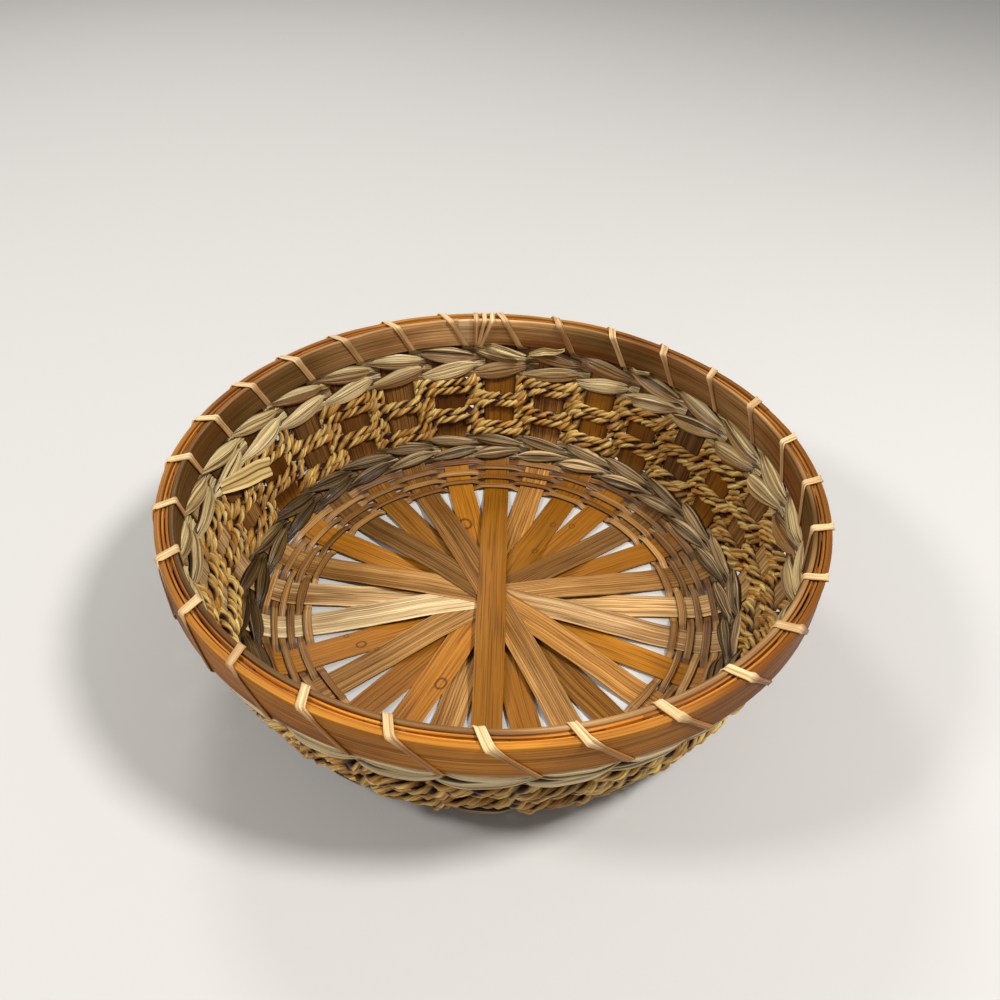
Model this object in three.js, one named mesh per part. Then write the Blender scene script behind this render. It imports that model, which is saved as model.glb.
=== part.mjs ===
// Round catchall basket of split bamboo, twined leaf and twisted straw rope, with a lashed bamboo rim.
// Millimetres, +Z up, +Y to the back. The origin lies under the middle of the base.
import * as THREE from 'three';

// Splints: each one crosses the base and runs up both walls as two stakes
const splintCount = 14;
const splintWidth = 10;
const splintThickness = 0.3;
const topSplint = 7;
const hubSlope = 0.08;
const hubSteps = 9;
const landingRun = 5;

// Clear space kept between pieces that lie on each other, and between splints pressed together at the hub
const restGap = 0.12;
const hubGap = 0.05;

// Flat bamboo weavers round the edge of the base
const baseOpeningRadius = 62.7;
const flatWeavers = 2;
const bentWeaverPairs = 2;
const weaverPitch = 2.85;
const weaverWidth = 2.3;
const weaverThickness = 0.7;

// Twined leaf rows
const lowerLeafRows = 2;
const lowerLeafPitch = 5.3;
const upperLeafRows = 2;
const upperLeafPitch = 6.7;
const leafThickness = 1.8;
const leafPinch = 0.42;

// Loose leaf ends, with their stakes counted from the first leaf row of the upper band
const tailThickness = 0.8;
const tailSteps = 5;
const tailEndShare = 0.25;
const tailLiftShare = 0.4;
const longTailWidth = 6.5;
const longTailFrom = 13.5;
const longTailTo = 12.2;
const longTailDrop = 8.8;
const shortTailWidth = 3.2;
const shortTailFrom = 6.5;
const shortTailTo = 5.85;
const shortTailRise = 3.4;

// Straw ropes, two side by side in a row
const ropeRows = 4;
const ropeDiameter = 2.75;
const ropePitch = 3.02;
const ropeSides = 5;

// Wall
const bendRadius = 20;
const wallSlope = THREE.MathUtils.degToRad(70.8);
const turnRoom = 0.3;

// Rim
const rimHeight = 11.2;
const stakeInset = 0.8;
const packingThickness = 0.8;
const packingInset = 0.5;
const outerHoopThickness = 1.8;
const innerHoopThickness = 1.5;

// Lashing, with its leans as shares of the space from one stake to the next
const lashingWidth = 2.3;
const lashingThickness = 0.45;
const lashingPass = 1.0;
const topLean = 0.12;
const insideLean = 0.29;
const underLean = 0.07;
const tieWraps = 3;
const tieWidth = 1.4;
const tieStake = 7.38;
const tiePitch = 2;

// Colours of the materials
const bambooColours = [0xc9a888, 0xb58f5e, 0xc07c33, 0x93754f, 0xbb7a35, 0xc68434, 0xc2a173, 0xa9692a,
  0xc58238, 0x8b7350, 0xb07a40, 0xa98255, 0xc8883c, 0x957a55];
const weaverColour = 0xa8743f;
const lowerLeafColour = 0x857550;
const upperLeafColour = 0xb59d6c;
const ropeColour = 0xc89a4a;
const hoopColour = 0x9a632c;
const packingColour = 0xc08a48;
const lashingColour = 0xd9c08c;

// Roughness of the surfaces
const bambooRoughness = 0.5;
const leafRoughness = 0.75;
const strawRoughness = 0.8;

const stakeCount = 2 * splintCount;
const stakePitch = 2 * Math.PI / stakeCount;
const halfSplint = splintThickness / 2;
const baseLevel = weaverThickness + restGap + halfSplint;

const basket = new THREE.Group();

function finish(colour, roughness) {
  return new THREE.MeshStandardMaterial({ color: colour, roughness, metalness: 0 });
}

function addPiece(name, geometry, material) {
  const piece = new THREE.Mesh(geometry, material);
  piece.name = name;
  basket.add(piece);
}

// A closed body through cross-sections of equally many corners, either a ring or with two flat ends
function bodyThrough(sections, ring) {
  const sides = sections[0].length;
  const spans = ring ? sections.length : sections.length - 1;
  const faces = [];
  for (let i = 0; i < spans; i++) {
    const here = i * sides;
    const next = (i + 1) % sections.length * sides;
    for (let j = 0; j < sides; j++) {
      const k = (j + 1) % sides;
      faces.push([here + j, here + k, next + k], [here + j, next + k, next + j]);
    }
  }
  if (!ring) {
    const last = (sections.length - 1) * sides;
    for (let j = 1; j < sides - 1; j++) {
      faces.push([0, j + 1, j], [last, last + j, last + j + 1]);
    }
  }
  const corners = sections.flat();
  const volume = faces.reduce((sum, [a, b, c]) =>
    sum + corners[a].dot(new THREE.Vector3().crossVectors(corners[b], corners[c])), 0);
  const outward = volume > 0 ? faces : faces.map(([a, b, c]) => [a, c, b]);
  const geometry = new THREE.BufferGeometry().setFromPoints(corners);
  geometry.setIndex(outward.flat());
  geometry.computeVertexNormals();
  return geometry;
}

// The wall's profile is a chain of flat facets, one or more rows on each, that turn up round the bend
const facets = [];
let runLength = 0;
let runRadius = baseOpeningRadius;
let runHeight = baseLevel;

function addFacet(length, slope) {
  facets.push({ start: runLength, end: runLength + length, radius: runRadius, height: runHeight, slope });
  runLength += length;
  runRadius += length * Math.cos(slope);
  runHeight += length * Math.sin(slope);
}

const bendStart = flatWeavers * weaverPitch;

function bendSlope(length) {
  const turned = (runLength + length / 2 - bendStart) / bendRadius;
  return Math.min(Math.max(turned, 0), wallSlope);
}

function addRows(count, length) {
  const middles = [];
  for (let i = 0; i < count; i++) {
    middles.push(runLength + length / 2);
    addFacet(length, bendSlope(length));
  }
  return middles;
}

addFacet(bendStart, 0);
addRows(bentWeaverPairs, 2 * weaverPitch);
const lowerLeafMiddles = addRows(lowerLeafRows, lowerLeafPitch);
const ropeMiddles = addRows(ropeRows, 2 * ropePitch);
const upperLeafMiddles = addRows(upperLeafRows, upperLeafPitch);
addRows(1, lashingPass);
const rimBottom = runHeight;
const rimRadius = runRadius;
const rimTop = rimBottom + rimHeight;
addFacet(rimHeight - stakeInset, Math.PI / 2);

// A point of the weave: stake number, way up the profile, step sideways and step into the bowl
function wallFrame(stake, way) {
  const facet = facets.find((f) => way <= f.end) ?? facets.at(-1);
  const along = way - facet.start;
  const turn = stake * stakePitch;
  const outward = new THREE.Vector3(Math.cos(turn), Math.sin(turn), 0);
  const rise = new THREE.Vector3(0, 0, 1);
  return {
    origin: outward.clone().multiplyScalar(facet.radius + along * Math.cos(facet.slope))
      .addScaledVector(rise, facet.height + along * Math.sin(facet.slope)),
    across: new THREE.Vector3(-Math.sin(turn), Math.cos(turn), 0),
    up: outward.clone().multiplyScalar(Math.cos(facet.slope)).addScaledVector(rise, Math.sin(facet.slope)),
    inward: outward.clone().multiplyScalar(-Math.sin(facet.slope)).addScaledVector(rise, Math.cos(facet.slope)),
  };
}

function weavePoint(stake, way, sideways, inward) {
  const { origin, across, up, inward: normal } = wallFrame(stake, way);
  return { at: origin.addScaledVector(across, sideways).addScaledVector(normal, inward), up, normal };
}

// A cross-section given as [up, in] pairs, set upright on the wall at a point of the weave
function wallSection({ at, up, normal }, pairs) {
  return pairs.map(([u, v]) => at.clone().addScaledVector(up, u).addScaledVector(normal, v));
}

// Splints, laid one on another across the hub
const layingSamples = 10;
const crossingReach = splintWidth / 2 / Math.tan(stakePitch / 2);
const landing = baseOpeningRadius - landingRun;
const hubStations = [];
for (let i = -hubSteps; i <= hubSteps; i++) {
  hubStations.push(crossingReach * i / hubSteps);
}

function restingHeights() {
  return hubStations.map((x) => {
    const rise = THREE.MathUtils.smoothstep(Math.abs(x), crossingReach / 2, landing);
    return THREE.MathUtils.lerp(halfSplint, baseLevel, rise);
  });
}

function stationBefore(x) {
  const step = crossingReach / hubSteps;
  const index = Math.floor((x + crossingReach) / step);
  return Math.min(Math.max(index, 0), hubStations.length - 2);
}

function heightAt(heights, x) {
  const i = stationBefore(x);
  const share = (x - hubStations[i]) / (hubStations[i + 1] - hubStations[i]);
  return THREE.MathUtils.lerp(heights[i], heights[i + 1], THREE.MathUtils.clamp(share, 0, 1));
}

function easeSlopes(heights) {
  return heights.map((own, i) => heights.reduce((best, other, j) =>
    Math.max(best, other - hubSlope * Math.abs(hubStations[i] - hubStations[j])), own));
}

function liftOver(heights, below, turn) {
  const half = splintWidth / 2 + hubGap;
  const sample = splintWidth / layingSamples;
  for (let x = -crossingReach; x <= crossingReach; x += sample) {
    for (let y = -half; y <= half; y += sample) {
      const alongBelow = x * Math.cos(turn) + y * Math.sin(turn);
      const acrossBelow = y * Math.cos(turn) - x * Math.sin(turn);
      if (Math.abs(acrossBelow) > half + sample) continue;
      const need = heightAt(below, alongBelow) + splintThickness + hubGap;
      const i = stationBefore(x);
      if (heightAt(heights, x) < need) {
        heights[i] = Math.max(heights[i], need);
        heights[i + 1] = Math.max(heights[i + 1], need);
      }
    }
  }
}

// Every other splint is laid first, turning round the hub, then those between, and the top splint last
const layOrder = [];
for (const last of [topSplint + 1, topSplint]) {
  for (let i = splintCount / 2 - 1; i >= 0; i--) {
    layOrder.push((last + 2 * i) % splintCount);
  }
}

const laidHeights = new Map();
for (const index of layOrder) {
  const heights = restingHeights();
  for (const [lower, below] of laidHeights) {
    liftOver(heights, below, (lower - index) * stakePitch);
  }
  laidHeights.set(index, easeSlopes(heights));
}

function splintPath(heights) {
  const stake = [[landing, baseLevel]];
  for (const [i, { radius, height, slope }] of facets.entries()) {
    if (i > 0 && slope !== facets[i - 1].slope) stake.push([radius, height]);
  }
  stake.push([rimRadius, rimTop - stakeInset]);
  const farSide = stake.map(([x, z]) => [-x, z]).reverse();
  const hub = hubStations.map((x, i) => [x, heights[i]]);
  return [...farSide, ...hub, ...stake].map(([x, z]) => new THREE.Vector2(x, z));
}

function splintBody(index) {
  const path = splintPath(laidHeights.get(index));
  const turn = index * stakePitch;
  const along = new THREE.Vector3(Math.cos(turn), Math.sin(turn), 0);
  const across = new THREE.Vector3(-Math.sin(turn), Math.cos(turn), 0);
  const sections = path.map((point, i) => {
    const before = point.clone().sub(path[Math.max(i - 1, 0)]).normalize();
    const after = path[Math.min(i + 1, path.length - 1)].clone().sub(point).normalize();
    const ahead = before.clone().add(after).normalize();
    const mitre = i > 0 && i < path.length - 1 ? ahead.dot(before) : 1;
    const step = new THREE.Vector2(-ahead.y, ahead.x).multiplyScalar(halfSplint / mitre);
    const corner = (side, face) => along.clone().multiplyScalar(point.x + face * step.x)
      .addScaledVector(across, side * splintWidth / 2).setZ(point.y + face * step.y);
    return [corner(-1, -1), corner(1, -1), corner(1, 1), corner(-1, 1)];
  });
  return bodyThrough(sections, false);
}

for (let index = 0; index < splintCount; index++) {
  const name = `splint_${String(index).padStart(2, '0')}`;
  addPiece(name, splintBody(index), finish(bambooColours[index % bambooColours.length], bambooRoughness));
}

// Plain weave: the piece passes inside one stake and outside the next
function plainWeave(way, offset, section, insideStakes) {
  const reach = splintWidth / 2 + turnRoom;
  const sections = [];
  for (let stake = 0; stake < stakeCount; stake++) {
    const side = stake % 2 === insideStakes ? 1 : -1;
    for (const sideways of [-reach, reach]) {
      sections.push(wallSection(weavePoint(stake, way, sideways, side * offset), section));
    }
  }
  return bodyThrough(sections, true);
}

const weaverSection = [[-1, -1], [1, -1], [1, 1], [-1, 1]]
  .map(([u, v]) => [u * weaverWidth / 2, v * weaverThickness / 2]);
const weaverOffset = halfSplint + restGap + weaverThickness / 2;
for (let row = 0; row < flatWeavers + 2 * bentWeaverPairs; row++) {
  const body = plainWeave((row + 0.5) * weaverPitch, weaverOffset, weaverSection, (row + 1) % 2);
  addPiece(`base_weaver_${row + 1}`, body, finish(weaverColour, bambooRoughness));
}

const ropeSection = [];
for (let i = 0; i < ropeSides; i++) {
  const turn = 2 * Math.PI * i / ropeSides;
  ropeSection.push([Math.cos(turn) * ropeDiameter / 2, Math.sin(turn) * ropeDiameter / 2]);
}
const ropeOffset = halfSplint + restGap + ropeDiameter / 2;
ropeMiddles.forEach((middle, row) => {
  for (const [place, step] of [['lower', -1], ['upper', 1]]) {
    const way = middle + step * ropePitch / 2;
    const body = plainWeave(way, ropeOffset, ropeSection, (row + 1) % 2);
    addPiece(`rope_${row + 1}_${place}`, body, finish(ropeColour, strawRoughness));
  }
});

// Twined leaf: two strands cross between the stakes, and each stake stands between them
function leafSection(halfHeight, halfThickness) {
  return [[-halfHeight, 0], [0, -halfThickness], [halfHeight, 0], [0, halfThickness]];
}

function twinedStrand(middle, pitch, insideStakes, slant) {
  const sections = [];
  const { origin } = wallFrame(0, middle);
  const halfStep = origin.x * Math.tan(stakePitch / 2);
  const sag = origin.x * (1 - Math.cos(stakePitch / 2));
  const share = splintWidth / 2 / halfStep;
  const clear = halfSplint + restGap + leafThickness / 2;
  const room = pitch / 2 - restGap;
  const crossingHalf = room * leafPinch;
  const crossingStep = room - crossingHalf;
  for (let stake = 0; stake < stakeCount; stake++) {
    const side = stake % 2 === insideStakes ? 1 : -1;
    const offset = (clear - side * sag * share) / (1 - share);
    const crowd = offset * Math.tan(pitch / bendRadius / 2);
    const wide = leafSection(room - crowd, leafThickness / 2);
    const narrow = leafSection(crossingHalf, leafThickness / 2);
    const crossing = weavePoint(stake + 0.5, middle, 0, 0);
    crossing.at.addScaledVector(crossing.up, side * slant * crossingStep);
    sections.push(wallSection(weavePoint(stake, middle, 0, side * offset), wide));
    sections.push(wallSection(crossing, narrow));
  }
  return bodyThrough(sections, true);
}

function addTwinedBand(name, middles, pitch, colour) {
  middles.forEach((middle, row) => {
    const slant = row % 2 === 0 ? -1 : 1;
    ['a', 'b'].forEach((strand, insideStakes) => {
      const body = twinedStrand(middle, pitch, insideStakes, slant);
      addPiece(`${name}_${row + 1}_${strand}`, body, finish(colour, leafRoughness));
    });
  });
}

addTwinedBand('lower_leaf', lowerLeafMiddles, lowerLeafPitch, lowerLeafColour);
addTwinedBand('upper_leaf', upperLeafMiddles, upperLeafPitch, upperLeafColour);

// Loose leaf ends: each is tucked in at a crossing and lies over the weave inside the bowl
function leafTail(path, width) {
  const sections = path.map(([stake, way, inward], i) => {
    const here = weavePoint(stake, way, 0, inward).at;
    const [back, front] = [path[Math.max(i - 1, 0)], path[Math.min(i + 1, path.length - 1)]]
      .map((place) => weavePoint(place[0], place[1], 0, place[2]).at);
    const ahead = front.sub(back).normalize();
    const normal = wallFrame(stake, way).inward;
    const side = new THREE.Vector3().crossVectors(normal, ahead).normalize();
    const share = i / (path.length - 1);
    const half = width / 2 * THREE.MathUtils.lerp(tailEndShare, 1, Math.sin(Math.PI * share));
    return [[-half, 0], [0, -tailThickness / 2], [half, 0], [0, tailThickness / 2]]
      .map(([u, v]) => here.clone().addScaledVector(side, u).addScaledVector(normal, v));
  });
  return bodyThrough(sections, false);
}

function tailPath(from, to, startWay, climb, tucked, lifted) {
  const path = [];
  for (let i = 0; i <= tailSteps; i++) {
    const share = i / tailSteps;
    const lift = THREE.MathUtils.lerp(tucked, lifted, Math.min(share / tailLiftShare, 1));
    path.push([from + (to - from) * share, startWay + climb * share, lift]);
  }
  return path;
}

const tailSeat = tailThickness / 2 + restGap;
const ropeFace = ropeOffset + ropeDiameter / 2;
const longTail = tailPath(longTailFrom, longTailTo, upperLeafMiddles[0], -longTailDrop,
  leafThickness / 2 + tailSeat, ropeFace + tailSeat);
addPiece('leaf_tail_long', leafTail(longTail, longTailWidth), finish(upperLeafColour, leafRoughness));
const shortTail = tailPath(shortTailFrom, shortTailTo, upperLeafMiddles[1], shortTailRise,
  leafThickness / 2 + tailSeat, ropeFace + tailSeat);
addPiece('leaf_tail_short', leafTail(shortTail, shortTailWidth), finish(upperLeafColour, leafRoughness));

// Rim rings: their flat facets lie along the stakes, so a radius here is measured to the flats
const rimFacets = 2 * stakeCount;
const outerPackingFace = rimRadius + halfSplint + restGap;
const innerPackingFace = rimRadius - halfSplint - restGap;
const outerHoopFace = outerPackingFace + packingThickness + restGap;
const innerHoopFace = innerPackingFace - packingThickness - restGap;
const rimOutside = outerHoopFace + outerHoopThickness;
const rimInside = innerHoopFace - innerHoopThickness;

function rimRing(inside, outside, bottom, top) {
  const corner = 1 / Math.cos(Math.PI / rimFacets);
  const profile = [[inside, bottom], [outside, bottom], [outside, top], [inside, top], [inside, bottom]]
    .map(([radius, height]) => new THREE.Vector2(radius * corner, height));
  const geometry = new THREE.LatheGeometry(profile, rimFacets, Math.PI / rimFacets, 2 * Math.PI);
  return geometry.rotateX(Math.PI / 2);
}

const packingTop = rimTop - packingInset;
const bamboo = finish(hoopColour, bambooRoughness);
const packing = finish(packingColour, bambooRoughness);
addPiece('rim_outer_hoop', rimRing(outerHoopFace, rimOutside, rimBottom, rimTop), bamboo);
addPiece('rim_inner_hoop', rimRing(rimInside, innerHoopFace, rimBottom, rimTop), bamboo);
addPiece('rim_outer_packing',
  rimRing(outerPackingFace, outerPackingFace + packingThickness, rimBottom, packingTop), packing);
addPiece('rim_inner_packing',
  rimRing(innerPackingFace - packingThickness, innerPackingFace, rimBottom, packingTop), packing);

// Lashing: a flat strip that goes up outside, over the rim, down inside and out under the hoops
const standOff = restGap + lashingThickness / 2;
const outsideRadius = rimOutside / Math.cos(Math.PI / rimFacets) + standOff;
const insideRadius = rimInside - standOff;
const overHeight = rimTop + standOff;
const underHeight = rimBottom - standOff;
const outsideLean = 1 - topLean - insideLean - underLean;

function stripStation(stake, radius, height, faces, width) {
  const turn = stake * stakePitch;
  const outward = new THREE.Vector3(Math.cos(turn), Math.sin(turn), 0);
  const across = new THREE.Vector3(-Math.sin(turn), Math.cos(turn), 0);
  const normal = outward.clone().multiplyScalar(faces[0]).setZ(faces[1]).multiplyScalar(lashingThickness / 2);
  const middle = outward.clone().multiplyScalar(radius).setZ(height);
  return [[-1, -1], [1, -1], [1, 1], [-1, 1]].map(([side, face]) =>
    middle.clone().addScaledVector(across, side * width / 2).addScaledVector(normal, face));
}

const outsideBottom = (stake, width) => stripStation(stake, outsideRadius, underHeight, [1, -1], width);
const outsideMiddle = (stake, width) =>
  stripStation(stake, outsideRadius, (underHeight + overHeight) / 2, [1, 0], width);
const outsideTop = (stake, width) => stripStation(stake, outsideRadius, overHeight, [1, 1], width);
const insideTop = (stake, width) => stripStation(stake, insideRadius, overHeight, [-1, 1], width);
const insideBottom = (stake, width) => stripStation(stake, insideRadius, underHeight, [-1, -1], width);

function leanWidth(width, lean) {
  const stepAside = lean * stakePitch * rimRadius;
  return width * Math.hypot(stepAside, rimHeight) / rimHeight;
}

function lashingSections() {
  const width = leanWidth(lashingWidth, insideLean);
  const first = topSplint + topLean / 2;
  const sections = [outsideBottom(first, width)];
  for (let wrap = 0; wrap < stakeCount; wrap++) {
    const top = first - wrap;
    if (wrap > 0) sections.push(outsideMiddle(top + outsideLean / 2, width));
    const down = top - topLean - insideLean;
    sections.push(outsideTop(top, width), insideTop(top - topLean, width));
    sections.push(insideBottom(down, width), outsideBottom(down - underLean, width));
  }
  return sections;
}

function tieSections() {
  const pitch = tiePitch / (rimRadius * stakePitch);
  const sections = [];
  for (let wrap = 0; wrap < tieWraps; wrap++) {
    const place = tieStake - (wrap - (tieWraps - 1) / 2) * pitch;
    sections.push(outsideBottom(place, tieWidth), outsideTop(place, tieWidth));
    sections.push(insideTop(place, tieWidth), insideBottom(place, tieWidth));
  }
  return sections;
}

// The least clear space between neighbouring wraps of one strip, measured at its bends
function leastWrapGap(sections, wraps) {
  const perWrap = Math.round(sections.length / wraps);
  let least = Infinity;
  for (let i = 0; i + perWrap < sections.length; i++) {
    for (const a of sections[i]) {
      for (const b of sections[i + perWrap]) {
        least = Math.min(least, a.distanceTo(b));
      }
    }
  }
  return least;
}

const lashing = lashingSections();
const tie = tieSections();
console.log(`least gap of the lashing to itself ${leastWrapGap(lashing, stakeCount).toFixed(2)} mm`);
console.log(`least gap of the tie to itself ${leastWrapGap(tie, tieWraps).toFixed(2)} mm`);
addPiece('rim_lashing', bodyThrough(lashing, false), finish(lashingColour, bambooRoughness));
addPiece('rim_lashing_tie', bodyThrough(tie, false), finish(lashingColour, bambooRoughness));

export default basket;
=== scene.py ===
# %% [markdown]
# # A woven catchall basket
# This notebook dresses a round, shallow basket: flat bamboo splints cross in the base and stand up as the
# stakes of the wall, narrow bamboo is woven round the base, folded leaf and straw rope are worked round the
# wall, and two bamboo hoops are lashed to the rim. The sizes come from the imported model, which is loaded
# first and stays as it is. Every piece made here lies where its counterpart in that model lies.

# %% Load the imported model
import math

import bmesh
import bpy
import numpy as np
from mathutils import Matrix, Vector


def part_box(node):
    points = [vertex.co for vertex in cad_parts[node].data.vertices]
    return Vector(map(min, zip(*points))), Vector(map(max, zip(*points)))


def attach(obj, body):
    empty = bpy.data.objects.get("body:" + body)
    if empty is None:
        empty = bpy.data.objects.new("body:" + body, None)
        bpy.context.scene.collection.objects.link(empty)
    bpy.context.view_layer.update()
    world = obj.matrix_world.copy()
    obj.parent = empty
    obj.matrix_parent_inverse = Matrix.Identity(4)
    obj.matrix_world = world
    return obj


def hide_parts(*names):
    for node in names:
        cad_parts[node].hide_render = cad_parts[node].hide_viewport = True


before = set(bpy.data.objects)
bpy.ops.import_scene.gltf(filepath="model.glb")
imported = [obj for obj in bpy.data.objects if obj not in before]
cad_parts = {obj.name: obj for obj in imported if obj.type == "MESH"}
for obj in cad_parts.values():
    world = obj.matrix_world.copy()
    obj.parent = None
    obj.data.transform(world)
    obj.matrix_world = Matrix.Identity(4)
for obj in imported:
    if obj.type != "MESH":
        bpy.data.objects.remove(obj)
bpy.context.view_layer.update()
MM = 0.001

# %% [markdown]
# A photograph is matched by putting the camera where the real one stood. The view looks down into the bowl
# by almost forty degrees from close by, so near things look large. The picture is square, and the lens is
# given for a sensor 36 mm wide.

# %% Camera
camera_place = Vector((1.7, -220.5, 231.2)) * MM
camera_pitch = math.radians(39.8)
camera_roll = math.radians(2.05)
camera_lens = 32.2
camera_data = bpy.data.cameras.new("camera")
camera_data.lens = camera_lens
camera_data.sensor_width = 36
camera_data.clip_start = 10 * MM
camera = bpy.data.objects.new("camera", camera_data)
bpy.context.scene.collection.objects.link(camera)
tilt = Matrix.Rotation(math.pi / 2 - camera_pitch, 4, "X") @ Matrix.Rotation(camera_roll, 4, "Z")
camera.matrix_world = Matrix.Translation(camera_place) @ tilt
bpy.context.scene.camera = camera
print("the camera stands", round(camera_place.length, 3), "m from the basket's foot")

# %% [markdown]
# Soft light from large lamps shows a weave best: the shadows between the strands stay, but none is black.
# The lamps are white and their level is plain, so that each colour renders about as it is written.

# %% Lamps and sky
def add_lamp(name, place, size, watts):
    data = bpy.data.lights.new(name, "AREA")
    data.shape = "DISK"
    data.size = size
    data.energy = watts
    lamp = bpy.data.objects.new(name, data)
    bpy.context.scene.collection.objects.link(lamp)
    lamp.location = place
    lamp.rotation_euler = (-Vector(place)).to_track_quat("-Z", "Y").to_euler()


add_lamp("key_lamp", (0.55, -0.15, 0.9), 0.2, 11.4)
add_lamp("fill_lamp", (-0.75, -0.2, 0.75), 0.2, 5.8)
add_lamp("back_lamp", (-0.4, 0.85, 0.9), 0.3, 5.2)
add_lamp("front_lamp", (-0.1, -1.0, 0.35), 0.5, 1.0)
world = bpy.data.worlds.new("sky")
bpy.context.scene.world = world
world.use_nodes = True
sky_strength = 0.29
world.node_tree.nodes["Background"].inputs["Color"].default_value = (1, 1, 1, 1)
world.node_tree.nodes["Background"].inputs["Strength"].default_value = sky_strength
bpy.context.scene.view_settings.view_transform = "Standard"

# %% [markdown]
# The basket stands on a plain pale floor. It is large enough to reach past the edges of the picture.

# %% Floor
def colour(code):
    """A colour written as on a paint chart, such as c08040, in the linear values that a shader takes."""
    parts = [int(code[i:i + 2], 16) / 255 for i in (0, 2, 4)]
    return tuple(c / 12.92 if c <= 0.04045 else ((c + 0.055) / 1.055) ** 2.4 for c in parts)


def start_material(name):
    material = bpy.data.materials.new(name)
    material.use_nodes = True
    return material, material.node_tree, material.node_tree.nodes["Principled BSDF"]


floor_size = 8
pale_floor, _, floor_shader = start_material("pale_floor")
floor_shader.inputs["Base Color"].default_value = (*colour("bdbab5"), 1)
floor_shader.inputs["Roughness"].default_value = 0.9
bpy.ops.object.select_all(action="DESELECT")
bpy.ops.mesh.primitive_plane_add(size=floor_size, location=(0, floor_size / 4, 0))
floor = bpy.context.object
floor.name = "floor"
floor.data.materials.append(pale_floor)
print("the floor lies at z =", floor.location.z)

# %% [markdown]
# ## The wall's line
# Every row of the weave lies somewhere on the way up the wall. The way starts at the edge of the open base,
# runs flat under the first weavers, turns up round a bend, rises steeply, and ends upright in the rim. The
# slope is given at a few places, and the radius and height follow by adding up small steps.

# %% Way up the wall
stake_count = 28
stake_pitch = 2 * math.pi / stake_count
top_splint = 7
splint_width = 10 * MM
splint_thickness = 0.3 * MM
base_radius = 62.7 * MM
base_level = 0.97 * MM
flat_run = 5.7 * MM
bend_radius = 20 * MM
wall_slope = math.radians(70.8)
rim_start = 66.3 * MM
rim_turn = (-1.5 * MM, 0.5 * MM)
wall_end = 76.7 * MM
bend_end = flat_run + bend_radius * wall_slope

way_steps = np.linspace(0, wall_end, 1201)
way_slope = np.interp(way_steps, [flat_run, bend_end, rim_start + rim_turn[0], rim_start + rim_turn[1]],
                      [0, wall_slope, wall_slope, math.pi / 2])
step = way_steps[1]
way_radius = base_radius + np.concatenate([[0], np.cumsum(np.cos(way_slope[:-1]) * step)])
way_height = base_level + np.concatenate([[0], np.cumsum(np.sin(way_slope[:-1]) * step)])
print("rim radius", round(way_radius[-1] / MM, 2), "mm, stakes end at", round(way_height[-1] / MM, 2), "mm")

# %% [markdown]
# ## Bench work
# Bamboo strips, leaf and rope are long and thin, and they are first made straight on the bench, lying along
# X from 0 with their width along Y, as long as their line in the basket. One short slice is a primitive, an
# Array modifier repeats it, and its open ends are closed. Only then is the piece laid along its line.

# %% Select by place
def edit(piece):
    bpy.ops.object.select_all(action="DESELECT")
    piece.select_set(True)
    bpy.context.view_layer.objects.active = piece
    bpy.ops.object.mode_set(mode="EDIT")
    bpy.ops.mesh.select_mode(type="EDGE")
    bpy.ops.mesh.select_all(action="DESELECT")


def select(piece, parts, wanted):
    mesh = bmesh.from_edit_mesh(piece.data)
    for part in getattr(mesh, parts):
        part.select_set(wanted(part))
    bmesh.update_edit_mesh(piece.data)


def along_x(edge):
    a, b = (v.co for v in edge.verts)
    return abs(a.x - b.x) > 0.9 * (a - b).length


# %% [markdown]
# The flat slice is a cube without its two end faces. The bevel takes the sharpness off its long edges, which
# catch the light on split bamboo. The round slice is an open cylinder laid on its side, for rope and leaf.

# %% Make a straight piece
def repeat_slice(piece, count, length):
    array = piece.modifiers.new("repeat", "ARRAY")
    array.use_relative_offset = False
    array.use_constant_offset = True
    array.constant_offset_displace = (length, 0, 0)
    array.count = count
    array.use_merge_vertices = True
    array.merge_threshold = length / 100
    bpy.ops.object.modifier_apply(modifier="repeat")
    edit(piece)
    for end in (0, count * length):
        select(piece, "edges", lambda e: all(abs(v.co.x - end) < length / 10 for v in e.verts))
        bpy.ops.mesh.edge_face_add()
    bpy.ops.object.mode_set(mode="OBJECT")


def bench_strip(name, line, width, thickness, slice_length, rounding, columns=0):
    count = max(2, round(line["run"][-1] / slice_length))
    each = line["run"][-1] / count
    bpy.ops.object.select_all(action="DESELECT")
    bpy.ops.mesh.primitive_cube_add(size=1, location=(each / 2, 0, 0), scale=(each, width, thickness))
    piece = bpy.context.object
    piece.name = name + "_strip"
    bpy.ops.object.transform_apply(location=True, rotation=True, scale=True)
    edit(piece)
    bpy.ops.mesh.select_mode(type="FACE")
    select(piece, "faces", lambda f: abs(f.normal.x) > 0.9)
    bpy.ops.mesh.delete(type="ONLY_FACE")
    bpy.ops.mesh.select_mode(type="EDGE")
    if columns:
        select(piece, "edges", lambda e: abs(e.verts[0].co.y - e.verts[1].co.y) > width / 2)
        bpy.ops.mesh.subdivide(number_cuts=columns)
    select(piece, "edges", lambda e: along_x(e) and abs(abs(e.verts[0].co.y) - width / 2) < width / 100)
    bpy.ops.mesh.bevel(offset=rounding, segments=2, affect="EDGES")
    bpy.ops.object.mode_set(mode="OBJECT")
    repeat_slice(piece, count, each)
    return piece


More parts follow.
